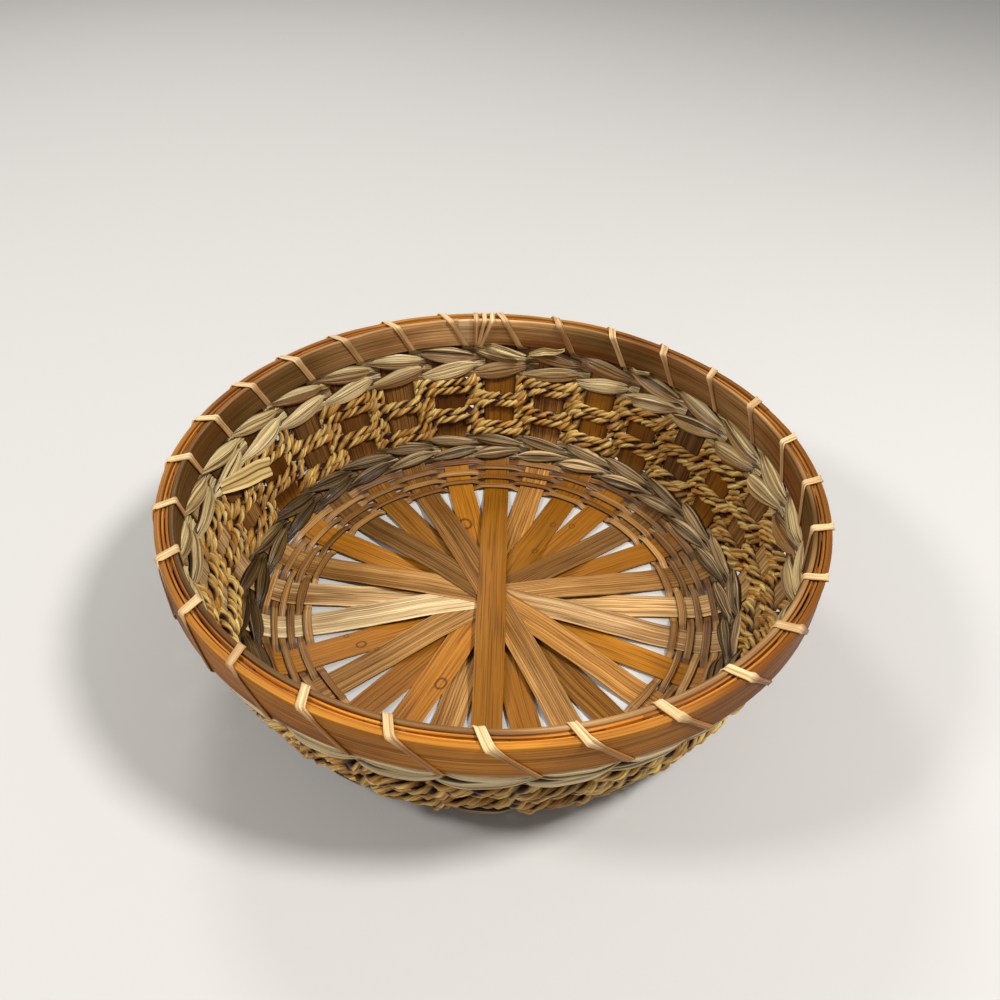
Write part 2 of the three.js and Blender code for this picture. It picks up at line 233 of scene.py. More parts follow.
def bench_rod(name, line, radius, slice_length, sides):
    count = max(2, round(line["run"][-1] / slice_length))
    each = line["run"][-1] / count
    bpy.ops.object.select_all(action="DESELECT")
    bpy.ops.mesh.primitive_cylinder_add(vertices=sides, radius=radius, depth=each, end_fill_type="NOTHING",
                                        location=(each / 2, 0, 0), rotation=(0, math.pi / 2, 0))
    piece = bpy.context.object
    piece.name = name
    bpy.ops.object.transform_apply(location=True, rotation=True, scale=True)
    repeat_slice(piece, count, each)
    return piece


# %% [markdown]
# Two helpers read and write all the points of a mesh at once. The third keeps the bench coordinates on the
# piece as an attribute named grain. The materials draw their fibres in it, so that the grain follows each
# strip wherever it bends. A number for each piece is added, so that no two strips have the same grain. The
# last helper keeps one value for each point, such as a shade.

# %% Points and attributes
grain_step = 0.31


def points_of(piece):
    flat = np.empty(len(piece.data.vertices) * 3)
    piece.data.vertices.foreach_get("co", flat)
    return flat.reshape(-1, 3)


def set_points(piece, points):
    piece.data.vertices.foreach_set("co", np.ascontiguousarray(points, dtype=np.float32).ravel())
    piece.data.update()


def keep_grain(piece, number):
    bench = points_of(piece)
    grain = bench + [0, 0, grain_step * number]
    layer = piece.data.attributes.new("grain", "FLOAT_VECTOR", "POINT")
    layer.data.foreach_set("vector", grain.astype(np.float32).ravel())
    return bench


def paint(piece, name, values):
    layer = piece.data.attributes.new(name, "FLOAT", "POINT")
    layer.data.foreach_set("value", np.asarray(values, dtype=np.float32))


# %% [markdown]
# A line says where a bench piece goes: for each length along the piece, a point, the direction of its width
# and the direction of its face. The width starts as a hint and is turned square to the line, so that a rope
# stays round where it slants. The table presses flat what would lie lower than it.

# %% Lay a piece along a line
above_table = 0.01 * MM


def turned(radius, turn, height):
    """Points at a radius and a height, turned about the middle of the basket."""
    return np.stack([radius * np.cos(turn), radius * np.sin(turn), height], axis=1)


def unit(vectors):
    return vectors / np.linalg.norm(vectors, axis=1, keepdims=True)


def make_line(points, width_hint):
    steps = np.linalg.norm(np.diff(points, axis=0), axis=1)
    run = np.concatenate([[0], np.cumsum(steps)])
    ahead = unit(np.gradient(points, axis=0))
    across = unit(width_hint - ahead * np.sum(width_hint * ahead, axis=1, keepdims=True))
    return {"run": run, "at": points, "across": across, "face": np.cross(across, ahead)}


def read_line(line, name, x):
    return np.stack([np.interp(x, line["run"], line[name][:, i]) for i in range(3)], axis=1)


def lay(piece, line, bench=None):
    bench = points_of(piece) if bench is None else bench
    x = bench[:, 0]
    placed = read_line(line, "at", x)
    placed += bench[:, 1:2] * read_line(line, "across", x) + bench[:, 2:3] * read_line(line, "face", x)
    placed[:, 2] = np.maximum(placed[:, 2], above_table)
    set_points(piece, placed)


def join(pieces, name):
    bpy.ops.object.select_all(action="DESELECT")
    for piece in pieces:
        piece.select_set(True)
    bpy.context.view_layer.objects.active = pieces[0]
    bpy.ops.object.join()
    pieces[0].name = name
    return pieces[0]


smooth_below = math.radians(50)


def dress(piece, material, slot, *nodes):
    edit(piece)
    bpy.ops.mesh.select_all(action="SELECT")
    bpy.ops.mesh.normals_make_consistent(inside=False)
    bpy.ops.object.mode_set(mode="OBJECT")
    bpy.ops.object.shade_smooth_by_angle(angle=smooth_below)
    piece.data.materials.clear()
    piece.data.materials.append(material)
    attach(piece, "root")
    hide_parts(*nodes)


# %% [markdown]
# ## Shared finishes
# All of the basket is plant fibre, and one shader group draws its streaks: long thin noise in the grain
# coordinates, fine and broad, the thin dark lines between bundles of fibres, where the noise crosses its
# middle value, and short dark flecks. It puts out four masks, and each material mixes its colours with them.

# %% Fibre group
def group_with(name, inputs, outputs):
    """An input that has no value is a vector. The other inputs and all outputs are numbers."""
    group = bpy.data.node_groups.new(name, "ShaderNodeTree")
    for socket, value in inputs.items():
        kind = "NodeSocketVector" if value is None else "NodeSocketFloat"
        made = group.interface.new_socket(name=socket, in_out="INPUT", socket_type=kind)
        if value is not None:
            made.default_value = value
    for socket in outputs:
        group.interface.new_socket(name=socket, in_out="OUTPUT", socket_type="NodeSocketFloat")
    return group, group.nodes.new("NodeGroupInput"), group.nodes.new("NodeGroupOutput")


def give(tree, socket, value):
    """The value is another node's output, a colour's code or a number."""
    if isinstance(value, bpy.types.NodeSocket):
        tree.links.new(value, socket)
    else:
        socket.default_value = (*colour(value), 1) if isinstance(value, str) else value


def add_node(tree, kind, settings=None, **values):
    """The values go to inputs by name, or by number, such as _6."""
    node = tree.nodes.new(kind)
    for name, value in (settings or {}).items():
        setattr(node, name, value)
    for name, value in values.items():
        give(tree, node.inputs[int(name[1:]) if name[1:].isdigit() else name.replace("_", " ")], value)
    return node


def attribute(tree, name, output="Fac"):
    return add_node(tree, "ShaderNodeAttribute", {"attribute_name": name}).outputs[output]


def compute(tree, operation, *values):
    """A Math node. With a vector first it is a Vector Math node."""
    on_vector = isinstance(values[0], bpy.types.NodeSocketVector)
    kind = "ShaderNodeVectorMath" if on_vector else "ShaderNodeMath"
    node = add_node(tree, kind, {"operation": operation}, **{f"_{i}": v for i, v in enumerate(values)})
    return node.outputs["Value" if operation == "LENGTH" else 0]


def noise_in(tree, place, scale, detail):
    node = add_node(tree, "ShaderNodeTexNoise", Vector=place, Scale=scale, Detail=detail)
    return node.outputs[0]


def put_out(tree, end, name, value, low, high):
    """Spreads the values from low to high over 0 to 1, and gives them to the group's output."""
    spread = add_node(tree, "ShaderNodeMapRange", Value=value, From_Min=low, From_Max=high)
    give(tree, end.inputs[name], spread.outputs[0])


fibre, fibre_in, fibre_out = group_with(
    "plant fibre", {"Across": 1500.0, "Along": 40.0}, ["Fine", "Broad", "Lines", "Flecks"])
stretch = add_node(fibre, "ShaderNodeCombineXYZ", X=fibre_in.outputs["Along"],
                   Y=fibre_in.outputs["Across"], Z=fibre_in.outputs["Across"])
drawn = compute(fibre, "MULTIPLY", attribute(fibre, "grain", "Vector"), stretch.outputs[0])
for output, scale, detail in (("Fine", 1.0, 4.0), ("Broad", 0.2, 2.0)):
    put_out(fibre, fibre_out, output, noise_in(fibre, drawn, scale, detail), 0.38, 0.62)
noise = noise_in(fibre, drawn, 0.26, 0.0)
from_middle = compute(fibre, "ABSOLUTE", compute(fibre, "SUBTRACT", noise, 0.5))
put_out(fibre, fibre_out, "Lines", from_middle, 0.07, 0.015)
short = compute(fibre, "MULTIPLY", drawn, (4.0, 0.75, 0.75))
put_out(fibre, fibre_out, "Flecks", noise_in(fibre, short, 1.0, 0.0), 0.6, 0.68)
print("fibre group has", len(fibre.nodes), "nodes")

# %% [markdown]
# Old bamboo has stains and weathered patches. They are large soft blotches that run a little along the
# grain, in one more group. It gives a mask that says how much of the stain colour a place has.

# %% Stain group
stain, stain_in, stain_out = group_with("stain", {"Size": 60.0, "Amount": 0.5}, ["Mask"])
drawn = compute(stain, "MULTIPLY", attribute(stain, "grain", "Vector"), (0.35, 1.6, 1.6))
noise = noise_in(stain, drawn, stain_in.outputs["Size"], 3.0)
low = compute(stain, "SUBTRACT", 0.85, stain_in.outputs["Amount"])
put_out(stain, stain_out, "Mask", noise, low, compute(stain, "ADD", low, 0.22))
print("stain group has", len(stain.nodes), "nodes")

# %% [markdown]
# Where a bud sat on the stalk, the skin side of the bamboo has a small scar: a dark oval ring. This group
# draws one at a given place in the grain coordinates.

# %% Bud scar group
bud_scar, scar_in, scar_out = group_with("bud scar", {"Place": None, "Radius": 1 * MM}, ["Mask"])
offset = compute(bud_scar, "SUBTRACT", attribute(bud_scar, "grain", "Vector"), scar_in.outputs["Place"])
distance = compute(bud_scar, "LENGTH", compute(bud_scar, "MULTIPLY", offset, (0.75, 1.0, 0.0)))
share = compute(bud_scar, "DIVIDE", distance, scar_in.outputs["Radius"])
from_ring = compute(bud_scar, "ABSOLUTE", compute(bud_scar, "SUBTRACT", share, 1.0))
put_out(bud_scar, scar_out, "Mask", from_ring, 0.34, 0.08)
mark_colour = "3e2208"
print("bud scar group has", len(bud_scar.nodes), "nodes")

# %% [markdown]
# One function makes every finish from those groups: a main colour, a darker fibre colour, a stain colour,
# and a tint that changes from one visible stretch of a strand to the next, and in some pieces also holds
# painted light and shade by place, which the pieces carry as the attribute tint. One more attribute holds
# painted shade: it darkens folds, grooves, edges and other places where shade falls. The attribute far
# marks the part of a piece that has a colour of its own.

# %% Fibre material
def mix(tree, factor, a, b, blend="MIX"):
    settings = {"data_type": "RGBA", "blend_type": blend}
    return add_node(tree, "ShaderNodeMix", settings, _0=factor, _6=a, _7=b).outputs[2]


def fibre_material(name, main, dark, stain_colour, across, along, contrast, stain_amount,
                   tint_colour=None, painted_shade_colour=None, roughness=0.55, bump=0.12, far=None,
                   lines=0.5, flecks=0.4, gloss=0.25, marks=()):
    material, tree, shader = start_material(name)
    streaks = add_node(tree, "ShaderNodeGroup", {"node_tree": fibre}, Across=across, Along=along)
    blotch = add_node(tree, "ShaderNodeGroup", {"node_tree": stain}, Amount=stain_amount)
    paint_mix = main
    if far:
        paint_mix = mix(tree, attribute(tree, "far"), main, far)
    if tint_colour:
        paint_mix = mix(tree, attribute(tree, "tint"), paint_mix, tint_colour)
    stained = compute(tree, "MULTIPLY", blotch.outputs["Mask"], 0.8)
    paint_mix = mix(tree, stained, paint_mix, stain_colour)
    for mask, amount in (("Broad", contrast / 2), ("Fine", contrast), ("Lines", lines), ("Flecks", flecks)):
        strength = compute(tree, "MULTIPLY", streaks.outputs[mask], amount)
        paint_mix = mix(tree, strength, paint_mix, dark, "MULTIPLY")
    # Painted shade: the colour is darkened where the piece marks folds, grooves, edges and recesses.
    if painted_shade_colour:
        paint_mix = mix(tree, attribute(tree, "painted_shade"), paint_mix, painted_shade_colour, "MULTIPLY")
    for place, radius in marks:
        scar = add_node(tree, "ShaderNodeGroup", {"node_tree": bud_scar}, Place=place, Radius=radius)
        scarred = compute(tree, "MULTIPLY", scar.outputs["Mask"], 0.75)
        paint_mix = mix(tree, scarred, paint_mix, mark_colour)
    give(tree, shader.inputs["Base Color"], paint_mix)
    shader.inputs["Specular IOR Level"].default_value = gloss
    rough = add_node(tree, "ShaderNodeMapRange", Value=streaks.outputs["Fine"], To_Min=roughness - 0.08,
                     To_Max=roughness + 0.12)
    give(tree, shader.inputs["Roughness"], rough.outputs[0])
    relief = add_node(tree, "ShaderNodeBump", Strength=0.7, Distance=bump * MM,
                      Height=compute(tree, "MULTIPLY", streaks.outputs["Fine"], -1.0))
    give(tree, shader.inputs["Normal"], relief.outputs[0])
    return material


# %% [markdown]
# ## Splints
# Fourteen flat splints cross in the middle of the base. Each is laid over or under its neighbours, and its
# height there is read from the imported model, halfway between its two faces at each station. Beyond the hub
# it follows the way up the wall at both ends.

# %% Line of a splint
stations_per_mm = 4
hub_radius = base_radius - 3 * MM
hub_points = 400
soft_points = 15
way_stride = 6


def hub_heights(index):
    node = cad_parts[f"splint_{index:02d}"]
    points = np.array([v.co for v in node.data.vertices])
    turn = index * stake_pitch
    along = points @ np.array([math.cos(turn), math.sin(turn), 0])
    stations = {}
    for x, z in zip(along, points[:, 2]):
        if abs(x) < hub_radius:
            stations.setdefault(round(x / MM * stations_per_mm), []).append(z)
    keys = sorted(stations)
    heights = [(min(stations[k]) + max(stations[k])) / 2 for k in keys]
    return np.array(keys) * MM / stations_per_mm, np.array(heights)


def splint_line(index):
    x, z = hub_heights(index)
    inner = np.linspace(-base_radius, base_radius, hub_points)
    heights = np.interp(inner, x, z, left=base_level, right=base_level)
    half = soft_points // 2
    heights[half:-half] = np.convolve(heights, np.ones(soft_points) / soft_points, mode="valid")
    along = np.concatenate([-way_radius[::-way_stride], inner[1:-1], way_radius[::way_stride]])
    up = np.concatenate([way_height[::-way_stride], heights[1:-1], way_height[::way_stride]])
    turn = index * stake_pitch
    points = np.stack([along * math.cos(turn), along * math.sin(turn), up], axis=1)
    side = np.tile([-math.sin(turn), math.cos(turn), 0.0], (len(points), 1))
    return make_line(points, side)


lines = [splint_line(i) for i in range(stake_count // 2)]
print("a splint is", round(lines[0]["run"][-1] / MM), "mm long")

# %% [markdown]
# Split bamboo has two faces. The skin side is smooth, orange and a little glossy, and the pith side is dull,
# tan or grey, with coarse fibres. On this basket either may lie upwards, so each splint has its own colours,
# one for each end where its two ends differ.

# %% Splint colours
orange = "b2721e"
deep_orange = "965e16"
amber = "905b10"
flame_brown = "8a560c"
tan = "d4984c"
wheat = "c29050"
brown = "ab7326"
grey_brown = "9f7036"
dark_grey_brown = "8d6430"
umber = "966521"
pale_tan = "ca9654"
pale = "e0b67e"
cream = "ffe2ac"
pinkish = "ffcf8a"
pink_cream = "ffd496"
splint_colours = [
    (pinkish, pink_cream, True), (pale_tan, cream, True), (deep_orange, orange, False),
    (dark_grey_brown, wheat, True), (deep_orange, deep_orange, False), (flame_brown, orange, False),
    (tan, wheat, True), (amber, flame_brown, False), (orange, deep_orange, False),
    (grey_brown, wheat, True), (brown, umber, True), (dark_grey_brown, tan, True), (orange, orange, False),
    (wheat, pale, True)]
# How much painted shade each stake has up the wall, where it isn't the usual amount
usual_painted_wall_shade = 0.36
painted_wall_shades = {1: 0.6, 2: 0.45, 4: 0.55, 5: 0.0, 6: 0.7, 7: 0.15, 8: 0.97, 9: 0.2, 10: 0.7, 12: 1.0,
               13: 0.5}
bud_scars = {2: [(-52.0, 4.1, 0.6), (-48.4, -1.3, 1.2)], 3: [(-44.6, 4.4, 0.6)], 4: [(51.2, 2.4, 0.9)],
             5: [(47.5, -2.3, 0.9), (29.7, -2.9, 0.9), (-40.6, -2.6, 1.6)], 8: [(42.0, 2.0, 2.2)]}


def splint_material(index, near, far, pith, middle):
    # The last value is the colour of the painted shade up the wall.
    across, along, contrast, rough, bump, lines, painted_shade = (
        (3400, 15, 0.7, 0.6, 0.16, 0.45, "846c50") if pith else (2600, 11, 0.3, 0.42, 0.06, 0.12, "7c7262"))
    marks = [((middle + x * MM, y * MM, 0), radius * MM) for x, y, radius in bud_scars.get(index, [])]
    return fibre_material(
        f"splint_{index:02d}_bamboo", near, "8f7a58", "9a6218", across, along, contrast,
        stain_amount=0.36, painted_shade_colour=painted_shade, roughness=rough, bump=bump, far=far, lines=lines,
        flecks=0.55, gloss=0.16, marks=marks)


# %% [markdown]
# A splint isn't quite flat: it is cupped across, its edges waver, and its width changes a little from end to
# end. Up the wall it is a little wider, and it gets painted shade there, by stake and darkest at its edges,
# which lie in the shade of the ropes. The bench strip gets its shape by moving its points, before it is
# laid in the basket.

# %% Make the splints
def wander(rng, x, reach, size):
    """A smooth random wave along x, with a bend about every reach."""
    count = int(np.ptp(x) / reach) + 4
    knots = rng.uniform(-size, size, count)
    place = (x - x.min()) / reach
    i = place.astype(int)
    share = place - i
    share = share * share * (3 - 2 * share)
    return knots[i] * (1 - share) + knots[i + 1] * share


flame_tip, flame_length = 58 * MM, 22 * MM
wall_widening = 0.25
cup_depth = 0.12 * MM
for index, line in enumerate(lines):
    rng = np.random.default_rng(100 + index)
    name = f"splint_{index:02d}"
    length = line["run"][-1]
    strip = bench_strip(name, line, splint_width, splint_thickness, slice_length=1.2 * MM,
                        rounding=0.11 * MM, columns=5)
    bench = keep_grain(strip, index)
    from_middle = bench[:, 0] - length / 2
    share = bench[:, 1] / (splint_width / 2)
    if index == top_splint:
        flame = np.abs(share) - (flame_tip - from_middle) / flame_length
        paint(strip, "far", np.clip(3 * flame, 0, 1))
    else:
        paint(strip, "far", np.clip(0.5 - from_middle / (6 * MM), 0, 1))
    up_the_wall = np.abs(from_middle) - base_radius - bend_end
    wall_share = np.clip(up_the_wall / (8 * MM) + 1, 0, 1)
    stakes = (index, index + len(lines))
    near_painted_shade, far_painted_shade = (painted_wall_shades.get(stake, usual_painted_wall_shade) for stake in stakes)
    end_painted_shade = np.where(from_middle > 0, near_painted_shade, far_painted_shade)
    # Painted shade up the wall: an amount for each stake, and the most along the stake's edges.
    edge_painted_shadow = np.clip((np.abs(share) - 0.8) / 0.1, 0, 1)
    paint(strip, "painted_shade", wall_share * np.maximum(end_painted_shade, edge_painted_shadow))
    bench[:, 1] *= 1 + wander(rng, bench[:, 0], 18 * MM, 0.035) + wall_widening * wall_share
    bench[:, 1] += wander(rng, bench[:, 0], 25 * MM, 0.12 * MM)
    bench[:, 2] += cup_depth * share ** 2 * (1 if index % 2 else -1)
    bench[:, 2] += wander(rng, bench[:, 0] + 9 * MM * share, 7 * MM, 0.05 * MM)
    lay(strip, line, bench)
    near, far, pith = splint_colours[index]
    dress(strip, splint_material(index, near, far, pith, length / 2), "splint", name)
print(len(lines), "splints laid")

# %% [markdown]
# ## Lines of the weave
# A weaver passes inside one stake and outside the next. Over the flat face of a stake it runs straight, at
# the same distance from the face, and it swings to the other side in the gap between two stakes. This
# function gives such a line for any row from the way up the wall and the distance from the stake's middle.

# %% Woven line
per_stake = 40


def wall_at(way):
    return (np.interp(way, way_steps, way_radius), np.interp(way, way_steps, way_height),
            np.interp(way, way_steps, way_slope))


def weave_places(start):
    return np.arange(0, stake_count * per_stake + 1) / per_stake + start


def swing(places, radius, inside_stakes, room=0.6 * MM):
    """1 inside a stake, -1 outside it, and a soft turn between two stakes."""
    nearest = np.round(places)
    sideways = np.abs(radius * np.tan((places - nearest) * stake_pitch))
    gap = radius * math.tan(stake_pitch / 2)
    share = np.clip((gap - sideways) / (gap - splint_width / 2 - room), 0, 1)
    side = np.where(nearest.astype(int) % 2 == inside_stakes, 1, -1)
    return side * np.sin(share * math.pi / 2)


def ring_points(places, way, inward):
    """Points of a row, with the direction up the wall there."""
    radius, height, slope = wall_at(way)
    off_centre = (places - np.round(places)) * stake_pitch
    reach = (radius - inward * np.sin(slope)) * (1 + (1 / np.cos(off_centre) - 1) * np.sin(slope))
    turn = places * stake_pitch
    points = turned(reach, turn, height + inward * np.cos(slope))
    return points, turned(np.cos(slope), turn, np.sin(slope))


def woven_line(way, clear, inside_stakes, start, rng, wobble):
    places = weave_places(start)
    radius = float(wall_at(way)[0])
    ways = way + wander(rng, places, 1.7, wobble)
    points, up = ring_points(places, ways, clear * swing(places, radius, inside_stakes))
    return make_line(points, up), places


# %% [markdown]
# Each stretch of a strand has its own shade, because the material is natural and turns as it is worked in.
# The shade is one random number for each stake, and it changes where the strand passes behind.

# %% Tint by stretch
def stretch_tint(rng, piece, line, places, bench, shade_at=((0, 1), (0, 0))):
    place = np.interp(bench[:, 0], line["run"], places)
    shades = rng.uniform(0, 1, stake_count * 2 + 4)[np.round(place - places[0]).astype(int)]
    # A table by stake may be added to the random shade; for the weavers it is painted shade at the back.
    paint(piece, "tint", np.clip(shades + np.interp(np.round(place) % stake_count, *shade_at), 0, 1))


# %% [markdown]
# ## Base weavers
# Six narrow strips of split bamboo run round the edge of the base, in plain weave. They lie close together,
# and each has rounded edges that catch the light, so it is the bench strip again with a larger bevel. They
# are split by eye, so their width wanders. Their edges get painted shade, which parts one from the next,
# and they get painted shade at the back.

# %% Make the base weavers
weaver_rows = 6
weaver_pitch = 2.85 * MM
weaver_width = 2.55 * MM
weaver_thickness = 0.7 * MM
weaver_clear = 0.62 * MM
weaver_bamboo = fibre_material(
    "weaver_bamboo", "98642a", "8a7048", "6e4516", across=3200,
    along=14, contrast=0.7, stain_amount=0.36, tint_colour="e4b068",
    painted_shade_colour="6c4820", roughness=0.38, bump=0.08)
for row in range(weaver_rows):
    rng = np.random.default_rng(200 + row)
    inside_stakes = (row + 1) % 2
    line, places = woven_line((row + 0.5) * weaver_pitch, weaver_clear, inside_stakes, 20 + 3 * row, rng,
                              0.12 * MM)
    strip = bench_strip(f"weaver_{row + 1}", line, weaver_width, weaver_thickness,
                        slice_length=0.8 * MM, rounding=0.22 * MM)
    bench = keep_grain(strip, 20 + row)
    # The table by stake is painted shade: the weavers are darker at the back, stakes 5 to 9.
    stretch_tint(rng, strip, line, places, bench, ((0, 3, 5, 9, 11, 28), (0.1, 0, -0.4, -0.4, 0, 0.1)))
    # Painted shade along both edges of each weaver.
    paint(strip, "painted_shade", np.clip(np.abs(bench[:, 1]) / weaver_width * 10 - 4, 0, 1))
    bench[:, 1] *= 1 + wander(rng, bench[:, 0], 16 * MM, 0.22)
    lay(strip, line, bench)
    dress(strip, weaver_bamboo, "weaver", f"base_weaver_{row + 1}")
print(weaver_rows, "base weavers")

# %% [markdown]
# ## Straw ropes
# A straw rope is three plies laid loosely round each other, and each ply is a bunch of straws. A ply is a
# rod whose section has a lobe for each straw. Its points turn about the rope's middle as they go along, and
# three such rods, a third of a turn apart, are joined into one rope. Straw is soft, so the rope is pressed
# flat where it lies on a stake, and it swells again in the gaps.

# %% Make a rope
rope_rows = 4
rope_start = 27.7 * MM
rope_lay = 10.2 * MM
rope_pitch = 3.02 * MM
rope_clear = 1.32 * MM
plies_in_rope = 3
ply_radius = 0.92 * MM
ply_offset = 0.72 * MM
straws = 4
stake_room = 0.1 * MM + splint_thickness / 2
gap_widening, gap_thickening, crossing_widening = 0.5, 0.34, 0.22
straw_material = fibre_material(
    "straw", "ca8c30", "966e3c", "965e24", across=3000, along=40,
    contrast=0.45, stain_amount=0.36, tint_colour="ffe084", painted_shade_colour="4e2e0c",
    roughness=0.36, bump=0.12, lines=0.35, gloss=0.28)


def rope_ply(name, line, first_turn, rng, number):
    ply = bench_rod(name, line, radius=1.0, slice_length=rope_lay / 20, sides=16)
    bench = points_of(ply)
    x = bench[:, 0]
    around = np.arctan2(bench[:, 2], bench[:, 1])
    lobe = np.abs(np.cos(straws * around / 2))
    swell = 1 + wander(rng, x, 5 * MM, 0.15)
    radius = ply_radius * (0.8 + 0.2 * lobe ** 0.6) * swell
    turn = 2 * math.pi * (x + wander(rng, x, 11 * MM, 2.2 * MM)) / rope_lay + first_turn
    facing = np.cos(around)
    away = np.maximum(ply_offset + radius * facing, 0.02 * MM)
    beside = radius * np.sin(around)
    bench[:, 1] = away * np.cos(turn) - beside * np.sin(turn)
    bench[:, 2] = away * np.sin(turn) + beside * np.cos(turn)
    set_points(ply, np.stack([x, radius * around, radius], axis=1))
    keep_grain(ply, number)
    # Painted shade in the grooves between the plies and between the straws.
    paint(ply, "painted_shade", np.clip(1.25 - 1.4 * facing - 0.45 * lobe ** 0.6, 0, 1))
    set_points(ply, bench)
    return ply


def press_on_stakes(bench, side):
    """Flattens the rope against the stake that it passes, and lets it swell in the gap between two."""
    beside = np.clip((1 - np.abs(side)) / 0.03, 0, 1)
    crossing = np.clip(1 - np.abs(side) / 0.7, 0, 1)
    bench[:, 1] *= 1 + gap_widening * beside + crossing_widening * crossing
    bench[:, 2] *= 1 + gap_thickening * beside
    over_stake = np.clip((np.abs(side) - 0.85) / 0.13, 0, 1)
    limit = stake_room - rope_clear * np.abs(side) - (1 - over_stake) * 2 * MM
    bench[:, 2] = np.sign(side) * np.maximum(bench[:, 2] * np.sign(side), limit)


def make_rope(name, way, inside_stakes, start, number):
    rng = np.random.default_rng(300 + number)
    line, places = woven_line(way, rope_clear, inside_stakes, start, rng, 0.3 * MM)
    radius = float(wall_at(way)[0])
    plies = []
    for i in range(plies_in_rope):
        first_turn = 2 * math.pi * i / plies_in_rope
        ply = rope_ply(f"{name}_ply", line, first_turn, rng, number + 0.3 * i)
        bench = points_of(ply)
        stretch_tint(rng, ply, line, places, bench)
        press_on_stakes(bench, swing(np.interp(bench[:, 0], line["run"], places), radius, inside_stakes))
        lay(ply, line, bench)
        plies.append(ply)
    dress(join(plies, name + "_twist"), straw_material, "rope", name)


for row in range(rope_rows):
    way = rope_start + (row + 0.5) * 2 * rope_pitch
    for half, place in enumerate(("lower", "upper")):
        make_rope(f"rope_{row + 1}_{place}", way + (half - 0.5) * rope_pitch, (row + 1) % 2,
                  row + 1 + 4 * half, 40 + 2 * row + half)
print(rope_rows, "pairs of ropes,", straws, "straws to a ply")

# %% [markdown]
# ## Twined leaf
# A leaf row is two strands that cross between each pair of stakes, one passing inside and one outside. The
# leaf is folded lengthwise, and it is widest over the stake and pinched where it crosses. The rod's round
# section is made flat and gets its creases, which run together at the pinch as real folds do.

# %% Make a leaf strand
leaf_thickness = 1.9 * MM
leaf_pinch = 0.3
liner_width = 0.66
liner_thickness = 0.5 * MM
fold_depths = (1.0, 0.8, 0.5)
fold_width = 0.05
fold_spread = 3.2 * MM
stretches = stake_count + 3


def leaf_line(way, pitch, inside_stakes, slant, rng):
    places = weave_places(inside_stakes + 0.5)
    radius = float(wall_at(way)[0])
    bend = swing(places, radius, inside_stakes, -2.0 * MM)
    nearest = np.round(places)
    side = np.where(nearest.astype(int) % 2 == inside_stakes, 1, -1)
    climb = 2 * (places - nearest) * side * slant
    climb = climb * (1.15 - 0.15 * climb ** 2)
    room = pitch * (1 - liner_width) * 0.72
    ways = way + climb * room + wander(rng, places, 1.3, 0.25 * MM)
    clear = (0.45 * MM + leaf_thickness / 2) * (1 + wander(rng, places, 0.9, 0.15))
    points, up = ring_points(places, ways, clear * bend)
    return make_line(points, up), places


def make_blade(name, line, places, pitch, shade_at, rng, number):
    """The folded blade: widest over a stake, and drawn to a point where the two strands cross."""
    rod = bench_rod(name, line, radius=1.0, slice_length=1.3 * MM, sides=72)
    bench = points_of(rod)
    x = bench[:, 0]
    place = np.interp(x, line["run"], places)
    stretch = np.round(place).astype(int) - int(places[0])
    off = place - np.round(place)
    lean = rng.uniform(-0.1, 0.1, stretches)[stretch]
    full = rng.uniform(0.88, 1.14, stretches)[stretch]
    bulge = np.cos(math.pi * np.clip(off + lean * (1 - 4 * off ** 2), -0.5, 0.5))
    half_width = pitch / 2 * (leaf_pinch + (full - leaf_pinch) * bulge ** 0.7)
    share = np.clip(bench[:, 1], -1, 1)
    folds = rng.uniform(-0.8, 0.8, (stretches, len(fold_depths)))
    depth, layers = np.zeros_like(x), np.zeros_like(x)
    for i, deep in enumerate(fold_depths):
        away = share - folds[stretch, i]
        depth = np.maximum(depth, deep * np.exp(-(away / fold_width) ** 2))
        layers += 0.22 * deep * (np.tanh(away / fold_width) - share) * np.sign(folds[stretch, (i + 1) % 3])
    thick = leaf_thickness / 2 * (0.7 + 0.3 * bulge)
    crown = np.sign(bench[:, 2]) * np.abs(bench[:, 2]) ** 0.5
    set_points(rod, np.stack([x, share * fold_spread, crown * thick], axis=1))
    keep_grain(rod, number)
    # Painted shade in the folds and along both edges of the blade.
    paint(rod, "painted_shade", np.clip(0.95 * depth + 7 * np.clip(np.abs(share) - 0.86, 0, 1), 0, 1))
    shades = rng.uniform(0, 1, stretches)
    # Painted light on tilted faces: the blade is lighter on one side of each fold and darker on the other.
    facet = 0.22 * np.sign(share - folds[stretch, 0]) + 0.15 * np.sign(share - folds[stretch, 1])
    shade = shades[stretch] + np.interp(np.round(place) % stake_count, *shade_at)
    paint(rod, "tint", np.clip(shade + facet, 0, 1))
    bench[:, 1] = share * half_width
    bench[:, 2] = crown * thick * (1 + layers - 0.3 * depth)
    lay(rod, line, bench)
    return rod


def make_liner(name, line, pitch, number):
    """The flat inner blade, which keeps its width where the folded one narrows and so fills the crossing."""
    width = pitch * liner_width
    strip = bench_strip(name, line, width, liner_thickness, slice_length=1.6 * MM,
                        rounding=0.15 * MM, columns=2)
    bench = keep_grain(strip, number + 0.5)
    # The liner is painted darker all over, as painted shade, since it lies behind the folded blade.
    paint(strip, "painted_shade", np.full(len(bench), 0.75))
    paint(strip, "tint", np.zeros(len(bench)))
    bench[:, 2] += 0.35 * MM * np.sin(2 * math.pi * bench[:, 1] / width)
    lay(strip, line, bench)
    return strip


# %% [markdown]
# A strand is pieced together from many leaves, and here and there one's end stands out of the weave, inside
# the bowl. Such an end is a short folded blade that leans on the wall, lies over the weave and is cut off.

# %% Make a loose end
end_thickness = 0.5 * MM
end_folds = ((-0.55, 0.6), (0.02, 1.0), (0.6, 0.5))


